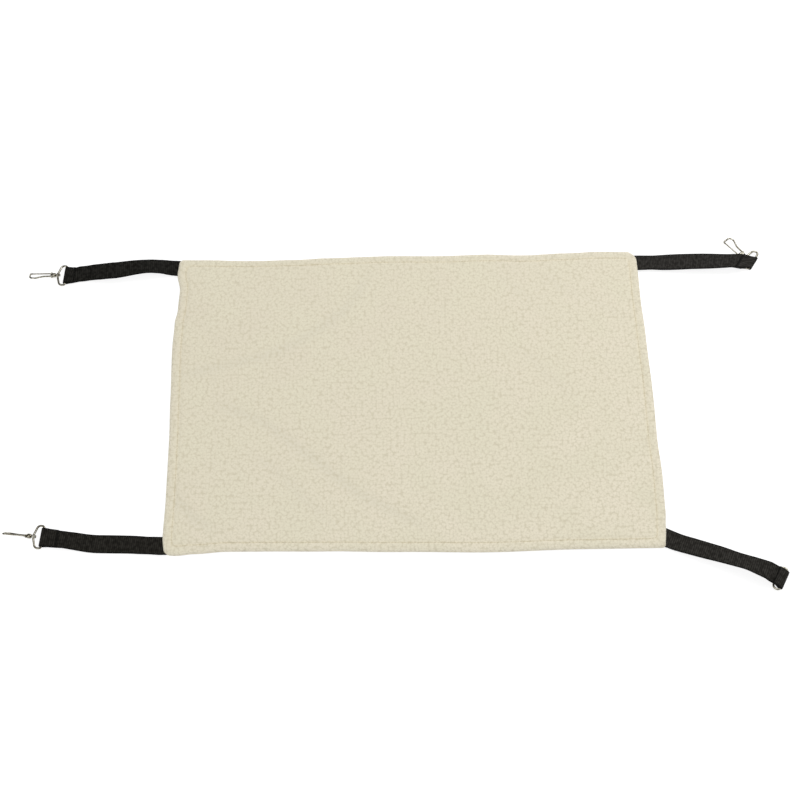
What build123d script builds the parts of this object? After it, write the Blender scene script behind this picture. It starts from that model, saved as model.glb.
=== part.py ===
from build123d import *
import os
from math import ceil, copysign, cos, radians, sin, tan

# A cage cat hammock: a fleece mat with a webbing strap and a swivel snap hook at
# each corner, lying flat with its fleece up as it is unpacked. Origin: centre of
# the mat's underside. +Z up, +X to the right, -Y towards the viewer. Millimetres.

# The mat
mat_length = 500.0
mat_depth = 350.0
backing_thickness = 1.6
fleece_thickness = 5.4
fleece_round = 3.4
fleece_hem_bevel = 1.2
backing_inset = 0.8
backing_bevel = 0.5
stitch_inset = 9.0
stitch_width = 2.0
stitch_sink = 1.0
stitch_corner = 4.0

# Corner radii, and how far each side strays from the straight line between its
# corners: (place along the side, outward offset), of half the side and the depth
corner_radii = {"back_left": 4.0, "front_left": 6.5, "back_right": 9.0, "front_right": 5.5}
back_edge_shares = ((-0.60, -0.0062), (-0.20, 0.0020), (0.20, 0.0035), (0.50, 0.0010), (0.82, 0.0085))
right_edge_shares = ((0.50, 0.0015), (0.0, 0.0068), (-0.55, 0.0072))
front_edge_shares = ((0.60, 0.0005), (0.25, 0.0040), (-0.30, -0.0050), (-0.70, -0.0080))
left_edge_shares = ((-0.60, 0.0020), (-0.10, 0.0035), (0.36, 0.0075), (0.76, -0.0030))

# The webbing straps
strap_width = 20.0
strap_thickness = 1.2
strap_reach = 122.0
strap_crest = 12.0
strap_bend = 30.0
crest_bend = 7.0
bend_run_share = 0.45
tail_length = 21.0
tail_clearance = 0.1
seam_reach = 2.7
seam_gap = 0.4
seam_round_share = 0.45
fold_back_length = 14.0
fold_close_length = 6.0
fold_pinch = 0.1
fold_clearance = 0.3
lane_length = 7.0
floor_clearance = 0.1

# The hooks' wire: sides of its section, and the most that it turns at one time
wire_sides = 8
wire_turn = 30.0

# The eye of the snap hook
eye_inner_width = 22.2
eye_wire = 2.2
eye_corner_bend = 2.2
eye_shoulder_bend = 4.5
eye_collar_reach = 9.1
collar_length = 2.0
collar_radius = 2.5
collar_bore = 1.45
shoulder_share = 0.68

# The swivel post, its head, and the barrel that it holds
post_radius = 1.0
post_head_radius = 1.8
post_head_thickness = 0.9
swivel_play = 0.8
post_depth = 3.2
barrel_length = 4.6
barrel_throat = 1.9
barrel_radius = 2.5
throat_share = 0.35

# The bow of the hook, seen from the side: along the hook, and across it
bow_wire = 1.8
bow_length = 23.6
bow_height = 6.3
bow_nose_drop = 3.7
bow_shares = ((-0.02, 0.33), (0.42, 0.42), (0.76, 1.0), (0.99, 0.79))
bow_bends = (12.0, 6.0, 3.2, 2.0)

# The cross-piece that carries the gate on its pin
yoke_thickness = 3.0
yoke_radius = 1.3
yoke_slot = 1.6
pin_radius = 0.5
pin_offset = 0.6
pin_drop = 3.0

# The gate
gate_wire = 1.4
gate_boss_radius = 1.2
gate_boss_thickness = 1.3
gate_root = 2.8
gate_clearance = 0.1
gate_pin_clearance = 0.05
lap_length = 1.8

cut_overrun = 1.0

# The four corners. Headings and angles are in degrees, seen from above from +X.
# reach_share: distance from seam to bar, of strap_reach. rise_shares: points of
# the strap's height between the seam and the last bend, as (along, of strap_crest).
# slide_share: how far the eye has slid to the back along its bar, of its play there.
corners = (
    {
        "name": "back_left", "side": -1, "end": 1, "seam_share": 0.936,
        "tail_heading": 180.0, "heading": 183.0, "reach_share": 0.986, "fold_heading": 176.0,
        "fold_slope": 0.0, "bar_lift_share": 0.0, "crest_share": 0.0,
        "rise_shares": ((0.06, None), (0.23, 0.84), (0.60, 0.74)),
        "end_width_share": 1.0, "fold_width_share": 1.0,
        "folded_under": False, "slide_share": 0.0,
        "eye_rise": 3.2, "hook_lean": 6.5, "hook_roll": 29.0,
    },
    {
        "name": "front_left", "side": -1, "end": -1, "seam_share": 0.936,
        "tail_heading": 180.0, "heading": 174.9, "reach_share": 0.972, "fold_heading": 175.2,
        "fold_slope": 0.0, "bar_lift_share": 0.6, "crest_share": 0.0,
        "rise_shares": ((0.08, None), (0.18, 0.06), (0.74, 0.06)),
        "end_width_share": 1.0, "fold_width_share": 1.0,
        "folded_under": False, "slide_share": 0.0,
        "eye_rise": 4.75, "hook_lean": -0.6, "hook_roll": -119.0,
    },
    {
        "name": "back_right", "side": 1, "end": 1, "seam_share": 0.936,
        "tail_heading": 0.0, "heading": -0.8, "reach_share": 1.015, "fold_heading": -33.0,
        "fold_slope": 28.0, "bar_lift_share": 0.0, "crest_share": 0.85,
        "rise_shares": ((0.08, None), (0.50, 0.68)),
        "end_width_share": 0.92, "fold_width_share": 0.85,
        "folded_under": True, "slide_share": 0.9,
        "eye_rise": 0.0, "hook_lean": -17.0, "hook_roll": 180.0,
    },
    {
        "name": "front_right", "side": 1, "end": -1, "seam_share": 0.938,
        "tail_heading": -23.1, "heading": -23.1, "reach_share": 0.974, "fold_heading": -28.7,
        "fold_slope": 33.0, "bar_lift_share": 0.0, "crest_share": 1.08,
        "rise_shares": ((0.08, None),),
        "end_width_share": 1.0, "fold_width_share": 1.0,
        "folded_under": True, "slide_share": 0.0,
        "eye_rise": 0.0, "hook_lean": 0.0, "hook_roll": 180.0,
    },
)

os.makedirs("parts", exist_ok=True)

# Worked out from the sizes above
mat_thickness = backing_thickness + fleece_thickness
seam_height = backing_thickness + strap_thickness / 2
fold_inner = eye_wire / 2 + fold_clearance
fold_outer = fold_inner + strap_thickness
eye_half_width = (eye_inner_width + eye_wire) / 2
post_end = collar_length / 2 + swivel_play + post_depth
barrel_start = collar_length / 2 + swivel_play
barrel_end = barrel_start + barrel_length
bow_end = barrel_end + bow_length
pin_place = (barrel_end + pin_offset, -pin_drop)
lap_start = bow_end - bow_wire / 2 - gate_clearance - lap_length


def flat_vector(angle):
    """Unit vector in plan at an angle from +X."""
    return Vector(cos(radians(angle)), sin(radians(angle)), 0)


def seam_point(corner):
    """Middle of the hinge line where a strap leaves the mat, on the floor."""
    across = corner["side"] * (mat_length / 2 + seam_reach)
    return Vector(across, corner["end"] * corner["seam_share"] * mat_depth / 2, 0)


def bar_height(corner):
    """Height of the eye's bar, with the fold of webbing just off the floor."""
    return fold_outer + floor_clearance + corner["bar_lift_share"] * strap_thickness


def bar_point(corner):
    """Middle of the eye's bar."""
    along = flat_vector(corner["heading"]) * strap_reach * corner["reach_share"]
    return seam_point(corner) + along + Vector(0, 0, bar_height(corner))


def eye_place(corner):
    """Location of an eye: its bar on local Y, its collar on local +X."""
    turn = 180 if corner["folded_under"] else 0
    turned = Rot(0, 0, corner["fold_heading"] + turn) * Rot(0, -corner["eye_rise"], 0)
    play = (eye_inner_width - strap_width * corner["fold_width_share"]) / 2
    return Location(bar_point(corner)) * turned * Pos(0, -play * corner["slide_share"], 0)


def hook_place(corner):
    """Location of a hook: its post on local X through the middle of the collar."""
    lean = Rot(0, 0, corner["hook_lean"]) * Rot(corner["hook_roll"], 0, 0)
    return eye_place(corner) * Pos(eye_collar_reach, 0, 0) * lean


def bend_radii(points, largest):
    """Radii of the arcs at the inner points of a path, limited by their runs."""
    radii = []
    for before, at, after in zip(points, points[1:], points[2:]):
        first = Vector(*at) - Vector(*before)
        second = Vector(*after) - Vector(*at)
        half_turn = radians(first.get_angle(second)) / 2
        room = bend_run_share * min(first.length, second.length) / tan(half_turn)
        radii.append(min(largest, room))
    return radii


def bent_wire(points, bends):
    """Points of a bent wire's middle line: each corner eased round its radius."""
    radii = [min(r, limit) for r, limit in zip(bends, bend_radii(points, max(bends)))]
    eased = [points[0]]
    for before, at, after, radius in zip(points, points[1:], points[2:], radii):
        first = (Vector(*at) - Vector(*before)).normalized()
        second = (Vector(*after) - Vector(*at)).normalized()
        turn = copysign(first.get_angle(second), first.cross(second).Z)
        start = Vector(*at) - first * radius * tan(radians(abs(turn)) / 2)
        spoke = first.rotate(Axis.Z, copysign(90, turn)) * -radius
        steps = ceil(abs(turn) / wire_turn)
        eased += [start - spoke + spoke.rotate(Axis.Z, turn * step / steps) for step in range(steps + 1)]
    return [*eased, points[-1]]


def mat_outline(inset, smallest_corner, mode=Mode.ADD):
    """The mat's outline on the current sketch plane, drawn in by an inset."""
    half_x = mat_length / 2 - inset
    half_y = mat_depth / 2 - inset
    corner = {name: max(r - inset, smallest_corner) for name, r in corner_radii.items()}
    loop = [("back_left", (-half_x, half_y))]
    loop += [(None, (x * half_x, half_y + out * mat_depth)) for x, out in back_edge_shares]
    loop += [("back_right", (half_x, half_y))]
    loop += [(None, (half_x + out * mat_depth, y * half_y)) for y, out in right_edge_shares]
    loop += [("front_right", (half_x, -half_y))]
    loop += [(None, (x * half_x, -half_y - out * mat_depth)) for x, out in front_edge_shares]
    loop += [("front_left", (-half_x, -half_y))]
    loop += [(None, (-half_x - out * mat_depth, y * half_y)) for y, out in left_edge_shares]
    points = [point for name, point in loop]
    around = [points[-1], *points, points[0]]
    waves = bend_radii(around, mat_length)
    radii = [corner[name] if name else wave for (name, point), wave in zip(loop, waves)]
    with BuildLine() as outline:
        FilletPolyline(*points, radius=radii, close=True)
    make_face(outline.edges(), mode=mode)


def tail_outline(corner, clearance):
    """Plan of a strap's sewn-in end, from its hinge gap to inside the mat."""
    seam = seam_point(corner)
    along = flat_vector(corner["tail_heading"])
    across = along.rotate(Axis.Z, 90)
    edge = seam.X - corner["side"] * seam_gap
    corners_of_tail = []
    for hand in (1, -1):
        side_line = seam + across * hand * (strap_width / 2 + clearance)
        start = side_line + along * ((edge - side_line.X) / along.X)
        inner = side_line - along * (tail_length + clearance)
        corners_of_tail.append((start, inner))
    (start_a, inner_a), (start_b, inner_b) = corners_of_tail
    with BuildLine() as outline:
        Polyline(start_a, inner_a, inner_b, start_b, close=True)
    make_face(outline.edges())


# The fleece: a thick pile sheet with rounded edges, a sewn line all round, and
# a pocket on its underside for each strap tail
with BuildPart() as fleece_top:
    with BuildSketch(Plane.XY.offset(backing_thickness)):
        mat_outline(0, 0)
    extrude(amount=fleece_thickness)
    fillet(fleece_top.faces().sort_by(Axis.Z)[-1].edges(), fleece_round)
    chamfer(fleece_top.faces().sort_by(Axis.Z)[0].edges(), fleece_hem_bevel)
    with BuildSketch(Plane.XY.offset(mat_thickness)):
        mat_outline(stitch_inset - stitch_width / 2, stitch_corner + stitch_width / 2)
        mat_outline(stitch_inset + stitch_width / 2, stitch_corner - stitch_width / 2, Mode.SUBTRACT)
    extrude(amount=-stitch_sink, mode=Mode.SUBTRACT)
    with BuildSketch(Plane.XY.offset(backing_thickness)):
        for corner in corners:
            tail_outline(corner, tail_clearance)
    extrude(amount=strap_thickness + tail_clearance, mode=Mode.SUBTRACT)
fleece_top.part.label = "fleece_top"
export_step(fleece_top.part, "parts/fleece_top.step")

# The backing: thin woven lining, drawn in a little from the fleece's edge
with BuildPart() as backing:
    with BuildSketch():
        mat_outline(backing_inset, 0)
    extrude(amount=backing_thickness)
    chamfer(backing.faces().sort_by(Axis.Z)[0].edges(), backing_bevel)
backing.part.label = "backing"
export_step(backing.part, "parts/backing.step")


def seam_edges(solid, side):
    """Upper and lower edge of the webbing's end at the hinge line."""
    end_face = solid.faces().filter_by(Axis.X).sort_by(Axis.X)[0 if side > 0 else -1]
    return end_face.edges().filter_by(Axis.Z, reverse=True)


# The sewn-in ends of the straps, held between backing and fleece
for corner in corners:
    with BuildPart() as strap_tail:
        with BuildSketch(Plane.XY.offset(backing_thickness)):
            tail_outline(corner, 0)
        extrude(amount=strap_thickness)
        fillet(seam_edges(strap_tail, -corner["side"]), strap_thickness * seam_round_share)
    strap_tail.part.label = f"strap_tail_{corner['name']}"
    export_step(strap_tail.part, f"parts/{strap_tail.part.label}.step")


def strap_path(corner):
    """Middle line of a strap's lower layer, seen from the side.

    Along the fold's heading and upwards, from behind the seam to the place
    where the two layers part to go round the eye's bar.
    """
    slant = radians(corner["fold_heading"] - corner["heading"])
    reach = strap_reach * corner["reach_share"] * cos(slant)
    slope = radians(corner["fold_slope"])
    down = Vector(cos(slope), -sin(slope))
    lower = Vector(sin(slope), cos(slope)) * (strap_thickness / 2)
    bar = Vector(reach, bar_height(corner))
    parting = bar - down * fold_close_length - lower
    last_bend = bar - down * (fold_back_length + crest_bend) - lower
    if corner["fold_slope"]:
        climb = strap_crest * corner["crest_share"] - bar.Y + lower.Y
        last_bend = bar - down * (climb / sin(slope)) - lower
    rises = [(along * reach, seam_height if high is None else high * strap_crest)
             for along, high in corner["rise_shares"]]
    return [(-strap_width / 2, seam_height), *rises, tuple(last_bend)[:2], tuple(parting)[:2]]


def strap_solid(corner):
    """A free strap: its side view drawn along the fold, cut to its plan."""
    seam = seam_point(corner)
    fold_along = flat_vector(corner["fold_heading"])
    fold_across = fold_along.rotate(Axis.Z, 90)
    side_view = Plane(origin=seam, x_dir=fold_along, z_dir=fold_along.cross(Vector(0, 0, 1)))
    path = strap_path(corner)
    bends = [strap_bend] * (len(path) - 3) + [crest_bend]
    radii = [min(r, limit) for r, limit in zip(bends, bend_radii(path, strap_bend))]
    slant = radians(corner["fold_heading"] - corner["heading"])
    reach = strap_reach * corner["reach_share"] * cos(slant)
    at_bar = Plane(origin=(reach, bar_height(corner), 0)).rotated((0, 0, -corner["fold_slope"]))

    heading = flat_vector(corner["heading"])
    across = heading.rotate(Axis.Z, 90)
    seam_line = seam.X + corner["side"] * seam_gap
    lane_start = bar_point(corner) - fold_along * lane_length
    lane_end = bar_point(corner) + fold_along * (fold_outer + cut_overrun)
    taper_start = seam + heading * (strap_reach * corner["reach_share"] - lane_length * 2)
    plan = {}
    for hand in (1, -1):
        edge = seam + across * hand * strap_width / 2
        plan[hand] = (
            edge + heading * ((seam_line - edge.X) / heading.X),
            taper_start + across * hand * strap_width * corner["end_width_share"] / 2,
            lane_start + fold_across * hand * strap_width * corner["fold_width_share"] / 2,
            lane_end + fold_across * hand * strap_width * corner["fold_width_share"] / 2,
        )
    outline_points = [Vector(p.X, p.Y) for p in (*plan[1], *reversed(plan[-1]))]

    with BuildPart() as strap:
        with BuildSketch(side_view):
            with BuildLine() as middle:
                FilletPolyline(*path, radius=radii)
            trace(middle.edges(), strap_thickness)
            with Locations(at_bar.location):
                with Locations((-(fold_close_length + fold_back_length) / 2, strap_thickness / 2)):
                    Rectangle(fold_back_length - fold_close_length, strap_thickness)
            with BuildSketch(mode=Mode.PRIVATE) as outer:
                Circle(fold_outer)
                with Locations((-fold_close_length, 0)):
                    Rectangle(fold_pinch, strap_thickness * 2)
                make_hull()
            with BuildSketch(mode=Mode.PRIVATE) as inner:
                Circle(fold_inner)
                with Locations((-fold_close_length, 0)):
                    Rectangle(fold_pinch, fold_pinch)
                make_hull()
            with Locations(at_bar.location):
                add(outer.sketch)
                add(inner.sketch, mode=Mode.SUBTRACT)
        extrude(amount=strap_reach, both=True)
        with BuildSketch():
            with BuildLine() as outline:
                Polyline(*outline_points, close=True)
            make_face(outline.edges())
        extrude(amount=strap_crest * 2, mode=Mode.INTERSECT)
        fillet(seam_edges(strap, corner["side"]), strap_thickness * seam_round_share)
    return strap.part


# The free straps
for corner in corners:
    strap = strap_solid(corner)
    strap.label = f"strap_{corner['name']}"
    export_step(strap, f"parts/{strap.label}.step")


def place_copies(solid, kind, place_of):
    """Write one copy of a hook's piece at each corner, as its own node."""
    for corner in corners:
        with BuildPart() as placed:
            with Locations(place_of(corner)):
                add(solid)
        placed.part.label = f"{kind}_{corner['name']}"
        export_step(placed.part, f"parts/{placed.part.label}.step")


# The eye: one closed loop of wire, flat along the webbing and drawn in to the
# collar that the swivel post turns in. Bar on local Y, collar towards +X.
eye_points = [
    (eye_collar_reach, collar_radius - eye_wire / 4),
    (eye_collar_reach * shoulder_share, eye_half_width),
    (0, eye_half_width),
    (0, -eye_half_width),
    (eye_collar_reach * shoulder_share, -eye_half_width),
    (eye_collar_reach, -collar_radius + eye_wire / 4),
]
eye_bends = (eye_shoulder_bend, eye_corner_bend, eye_corner_bend, eye_shoulder_bend)
with BuildPart() as eye:
    with BuildLine() as eye_line:
        Polyline(*bent_wire(eye_points, eye_bends))
    with BuildSketch(Plane(origin=eye_line.line @ 0, z_dir=eye_line.line % 0)):
        RegularPolygon(eye_wire / 2, wire_sides)
    sweep(path=eye_line.line, transition=Transition.RIGHT)
    with BuildSketch(Plane.YZ.offset(eye_collar_reach - collar_length / 2)):
        Circle(collar_radius)
    extrude(amount=collar_length)
    with BuildSketch(Plane.YZ.offset(eye_collar_reach - collar_length)):
        Circle(collar_bore)
    extrude(amount=collar_length * 2, mode=Mode.SUBTRACT)
place_copies(eye.part, "eye", eye_place)

# The swivel post: its head inside the eye, its shank fixed in the barrel
head_start = -collar_length / 2 - swivel_play - post_head_thickness
with BuildPart() as swivel_rivet:
    with BuildSketch():
        with BuildLine() as post_line:
            Polyline(
                (head_start, 0),
                (head_start, post_head_radius),
                (head_start + post_head_thickness, post_head_radius),
                (head_start + post_head_thickness, post_radius),
                (post_end, post_radius),
                (post_end, 0),
                close=True,
            )
        make_face(post_line.edges())
    revolve(axis=Axis.X)
place_copies(swivel_rivet.part, "swivel_rivet", hook_place)

# The hook: barrel, cross-piece and bow in one casting. Post on local X, the bow
# rises to +Y and comes round to the gate's side at -Y.
bow_points = [(barrel_end + x * bow_length, y * bow_height) for x, y in bow_shares]
bow_points += [(bow_end, -bow_nose_drop), (lap_start + gate_clearance, -bow_nose_drop)]
with BuildPart() as hook:
    with BuildSketch():
        with BuildLine() as barrel_line:
            Polyline((barrel_start, 0), (barrel_start, barrel_throat),
                     (barrel_start + barrel_length * throat_share, barrel_radius),
                     (barrel_end, barrel_radius), (barrel_end, 0), close=True)
        make_face(barrel_line.edges())
    revolve(axis=Axis.X)
    with BuildSketch(Plane.XY.offset(-yoke_thickness / 2)):
        with Locations((barrel_end, bow_points[0][1])):
            Circle(yoke_radius)
        with Locations(pin_place):
            Circle(yoke_radius)
        make_hull()
    extrude(amount=yoke_thickness)
    with BuildLine() as bow_line:
        Polyline(*bent_wire(bow_points, bow_bends))
    with BuildSketch(Plane(origin=bow_line.line @ 0, z_dir=bow_line.line % 0)):
        RegularPolygon(bow_wire / 2, wire_sides)
    sweep(path=bow_line.line, transition=Transition.RIGHT)
    # Slot for the gate's root, pin bore, bore for the post, and the nose's lap
    slot_roof = -pin_drop + gate_boss_radius + gate_clearance * 2
    slot_back = pin_place[0] - gate_boss_radius - gate_clearance * 2
    with BuildSketch(Plane.XY.offset(-yoke_slot / 2)):
        with BuildLine() as slot_line:
            Polyline((slot_back, slot_roof), (slot_back + yoke_radius * 4, slot_roof),
                     (slot_back + yoke_radius * 4, slot_roof - yoke_radius * 4),
                     (slot_back, slot_roof - yoke_radius * 4), close=True)
        make_face(slot_line.edges())
    extrude(amount=yoke_slot, mode=Mode.SUBTRACT)
    with BuildSketch(Plane.XY.offset(-yoke_thickness / 2 - cut_overrun)):
        with Locations(pin_place):
            Circle(pin_radius)
    extrude(amount=yoke_thickness + cut_overrun * 2, mode=Mode.SUBTRACT)
    with BuildSketch(Plane.YZ.offset(barrel_start - cut_overrun)):
        Circle(post_radius)
    extrude(amount=post_depth + cut_overrun, mode=Mode.SUBTRACT)
    nose_lap = -bow_nose_drop - gate_clearance
    with BuildSketch(Plane.XY.offset(-bow_wire)):
        with BuildLine() as lap_line:
            Polyline((lap_start - lap_length, nose_lap), (lap_start + lap_length + gate_clearance * 2, nose_lap),
                     (lap_start + lap_length + gate_clearance * 2, nose_lap + bow_wire),
                     (lap_start - lap_length, nose_lap + bow_wire), close=True)
        make_face(lap_line.edges())
    extrude(amount=bow_wire * 2, mode=Mode.SUBTRACT)
place_copies(hook.part, "hook", hook_place)

# The gate: a straight wire from its boss on the pin to the lap in the nose
gate_end = lap_start + lap_length
gate_points = [
    pin_place,
    (pin_place[0] + gate_root, -bow_nose_drop),
    (gate_end, -bow_nose_drop),
]
with BuildPart() as gate:
    with BuildLine() as gate_line:
        Polyline(*gate_points)
    with BuildSketch(Plane(origin=gate_line.line @ 0, z_dir=gate_line.line % 0)):
        RegularPolygon(gate_wire / 2, wire_sides)
    sweep(path=gate_line.line, transition=Transition.RIGHT)
    with BuildSketch(Plane.XY.offset(-gate_boss_thickness / 2)):
        with Locations(pin_place):
            Circle(gate_boss_radius)
    extrude(amount=gate_boss_thickness)
    with BuildSketch(Plane.XY.offset(-gate_wire)):
        with Locations(pin_place):
            Circle(pin_radius + gate_pin_clearance)
    extrude(amount=gate_wire * 2, mode=Mode.SUBTRACT)
    with BuildSketch(Plane.XY.offset(-gate_wire)):
        with BuildLine() as gate_lap_line:
            Polyline((lap_start, -bow_nose_drop), (gate_end + cut_overrun, -bow_nose_drop),
                     (gate_end + cut_overrun, -bow_nose_drop - gate_wire),
                     (lap_start, -bow_nose_drop - gate_wire), close=True)
        make_face(gate_lap_line.edges())
    extrude(amount=gate_wire * 2, mode=Mode.SUBTRACT)
place_copies(gate.part, "gate", hook_place)

# The gate's pin, pressed into both cheeks of the cross-piece
with BuildPart() as gate_pin:
    with BuildSketch(Plane.XY.offset(-yoke_thickness / 2)):
        with Locations(pin_place):
            Circle(pin_radius)
    extrude(amount=yoke_thickness)
place_copies(gate_pin.part, "gate_pin", hook_place)
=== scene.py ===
import math

import bpy
import numpy as np
from mathutils import Matrix, Vector


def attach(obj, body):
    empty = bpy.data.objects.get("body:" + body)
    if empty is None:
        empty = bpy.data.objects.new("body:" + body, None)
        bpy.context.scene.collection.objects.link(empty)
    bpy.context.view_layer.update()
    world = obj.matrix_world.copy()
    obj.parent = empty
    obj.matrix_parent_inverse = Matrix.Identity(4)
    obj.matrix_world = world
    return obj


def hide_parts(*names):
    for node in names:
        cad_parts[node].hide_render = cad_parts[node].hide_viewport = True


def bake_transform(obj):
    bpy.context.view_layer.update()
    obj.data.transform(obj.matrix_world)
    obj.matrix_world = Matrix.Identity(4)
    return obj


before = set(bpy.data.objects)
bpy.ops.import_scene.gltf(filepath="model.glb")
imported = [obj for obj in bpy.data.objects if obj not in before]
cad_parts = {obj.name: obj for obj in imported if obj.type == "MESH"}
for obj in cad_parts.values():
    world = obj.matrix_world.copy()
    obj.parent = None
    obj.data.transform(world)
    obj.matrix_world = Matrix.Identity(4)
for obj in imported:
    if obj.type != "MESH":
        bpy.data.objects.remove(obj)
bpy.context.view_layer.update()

# The backing: a plain-woven canvas lining, cut to the mat's size and sewn to the
# fleece round the edge. It lies on the floor, drawn up a little where the
# topstitch pulls it, and its outline wanders as the sewn mat's does.
mm = 0.001
mat_length, mat_depth = 0.500, 0.350
backing_thickness = 0.0016
backing_inset = 0.0008
backing_step = 0.004
seam_inset = 0.009
corner_round = {(-1, 1): 0.0040, (-1, -1): 0.0065, (1, 1): 0.0090, (1, -1): 0.0040}
smallest_round = 0.0004
# Places along each side from -1 to 1, and how far out the edge strays there, in mm
edge_wander = {
    "back": ((-1, -0.1), (-0.89, -0.7), (-0.69, -2.5), (-0.49, -1.9), (-0.36, -0.2),
             (-0.08, 1.4), (0.14, 0.5), (0.33, 1.7), (0.51, -0.1), (0.69, 2.0),
             (0.84, 3.3), (0.96, 2.5), (1, 0.6)),
    "right": ((-1, -0.4), (-0.87, 1.6), (-0.77, 2.9), (-0.54, 3.5), (-0.30, 2.1),
              (-0.04, 2.6), (0.42, 1.2), (0.67, -0.2), (0.86, -0.1), (1, -0.4)),
    "front": ((-1, -0.5), (-0.95, 0.2), (-0.88, -1.3), (-0.75, -3.4), (-0.62, -3.1),
              (-0.35, -2.1), (-0.06, -0.3), (0.29, 1.6), (0.65, -0.2), (1, -0.3)),
    "left": ((-1, -0.5), (-0.89, 1.4), (-0.65, 0.5), (-0.27, 0.5), (0, 1.6), (0.36, 2.8),
             (0.54, 1.7), (0.64, -0.9), (0.78, -1.8), (0.89, 1.6), (1, 0.2)),
}
# The straying fades from the rim to the mat's middle as this power of the way out
wander_power = 4


def wander(side, place):
    """How far a side of the mat strays outwards, at a place from -1 to 1 along it."""
    at, out = np.array(edge_wander[side]).T
    before = np.clip(np.searchsorted(at, place) - 1, 0, len(at) - 2)
    share = np.clip((place - at[before]) / (at[before + 1] - at[before]), 0, 1)
    return (out[before] + (out[before + 1] - out[before]) * share * share * (3 - 2 * share)) * mm


def mat_plan(x, y, inset=0.0):
    """Where a point of a straight-edged mat lies: corners rounded, sides uneven."""
    for (side, end), radius in corner_round.items():
        radius = max(radius - inset, smallest_round)
        a = np.clip((x * side - (mat_length / 2 - inset - radius)) / radius, 0, 1)
        b = np.clip((y * end - (mat_depth / 2 - inset - radius)) / radius, 0, 1)
        x = x + side * radius * a * (np.sqrt(1 - b * b / 2) - 1)
        y = y + end * radius * b * (np.sqrt(1 - a * a / 2) - 1)
    u, v = x / (mat_length / 2), y / (mat_depth / 2)
    right, left, back, front = [np.clip(share, 0, 1) ** wander_power for share in (u, -u, v, -v)]
    return (x + wander("right", v) * right - wander("left", v) * left,
            y + wander("back", u) * back - wander("front", u) * front)


def rim_distance(x, y, inset=0.0):
    """How far inside the rim of a straight-edged mat with round corners a point is."""
    radius = np.zeros_like(x)
    for (side, end), corner in corner_round.items():
        radius = np.where((x * side >= 0) & (y * end >= 0), max(corner - inset, smallest_round), radius)
    over_x = np.abs(x) - (mat_length / 2 - inset - radius)
    over_y = np.abs(y) - (mat_depth / 2 - inset - radius)
    corner = np.hypot(np.clip(over_x, 0, None), np.clip(over_y, 0, None))
    return radius - corner - np.clip(np.maximum(over_x, over_y), None, 0)


def grid_lines(half, rim, step):
    """Places across the mat: close together at the rim and even in the middle."""
    inner = half - rim[-1]
    middle = np.linspace(-inner, inner, round(2 * inner / step) + 1)
    return np.concatenate([-half + np.array(rim[:-1]), middle, (half - np.array(rim[:-1]))[::-1]])


def grid_faces(columns, rows, first=0):
    """Quads of a grid of points that is numbered row by row, facing up."""
    corner = (np.arange(rows - 1)[:, None] * columns + np.arange(columns - 1)).ravel() + first
    return np.stack([corner, corner + 1, corner + columns + 1, corner + columns], axis=1).tolist()


def rim_loop(columns, rows):
    """Numbers of a grid's outermost points, counter-clockwise seen from above."""
    return [*range(columns), *range(2 * columns - 1, rows * columns, columns),
            *range(rows * columns - 2, (rows - 1) * columns - 1, -1),
            *range((rows - 2) * columns, 0, -columns)]


def new_piece(name, points, faces, smooth=True):
    """A mesh object at the origin, with its place in its mesh."""
    mesh = bpy.data.meshes.new(name)
    mesh.from_pydata([tuple(p) for p in points], [], [tuple(f) for f in faces])
    mesh.validate()
    mesh.polygons.foreach_set("use_smooth", [smooth] * len(mesh.polygons))
    piece = bpy.data.objects.new(name, mesh)
    bpy.context.scene.collection.objects.link(piece)
    return piece


class Link:
    """The output of a node. Arithmetic on it adds Math nodes to the same tree."""

    def __init__(self, graph, socket):
        self.graph = graph
        self.socket = socket

    def maths(self, operation, *values):
        return self.graph.node("ShaderNodeMath", {"operation": operation}, dict(enumerate(values)))

    def __add__(self, other):
        return self.maths("ADD", self, other)

    def __radd__(self, other):
        return self.maths("ADD", other, self)

    def __sub__(self, other):
        return self.maths("SUBTRACT", self, other)

    def __rsub__(self, other):
        return self.maths("SUBTRACT", other, self)

    def __mul__(self, other):
        return self.maths("MULTIPLY", self, other)

    def __rmul__(self, other):
        return self.maths("MULTIPLY", other, self)

    def __truediv__(self, other):
        return self.maths("DIVIDE", self, other)

    def __rtruediv__(self, other):
        return self.maths("DIVIDE", other, self)

    def __abs__(self):
        return self.maths("ABSOLUTE", self)

    def sine(self):
        return self.maths("SINE", self)

    def larger(self, other):
        return self.maths("MAXIMUM", self, other)


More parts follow.
